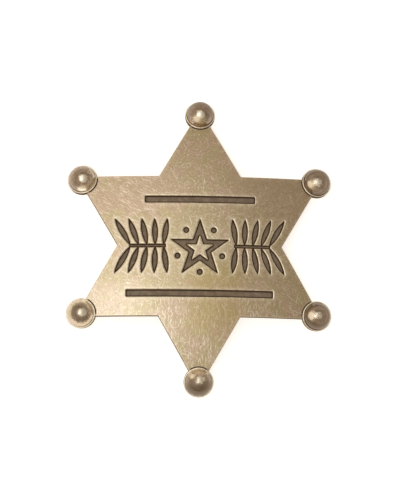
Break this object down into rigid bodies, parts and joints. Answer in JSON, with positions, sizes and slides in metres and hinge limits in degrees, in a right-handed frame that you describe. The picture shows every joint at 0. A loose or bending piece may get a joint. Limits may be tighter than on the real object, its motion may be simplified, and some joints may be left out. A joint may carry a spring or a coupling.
{
  "type": "sheriff star badge",
  "caption": "Domed six-pointed star badge with a ball on each point, sunk bars and leaf sprays on its face, and a brooch pin behind.",
  "frame": {"origin": "on the surface the badge rests on, under the middle of the star, where the backs of the six balls touch it", "axes": "+Z out of the face, +Y to the top point, +X to the right as the face is looked at"},
  "size_m": [0.067, 0.076, 0.0062],
  "materials": {
    "antique_brass": "antiqued, brushed and worn, with dark patina in the sunk figures",
    "pin_metal": "plain nickel plate, slightly dulled"
  },
  "bodies": {
    "root": {"star": "antique_brass", "brooch_pin": "pin_metal"}
  },
  "joints": []
}
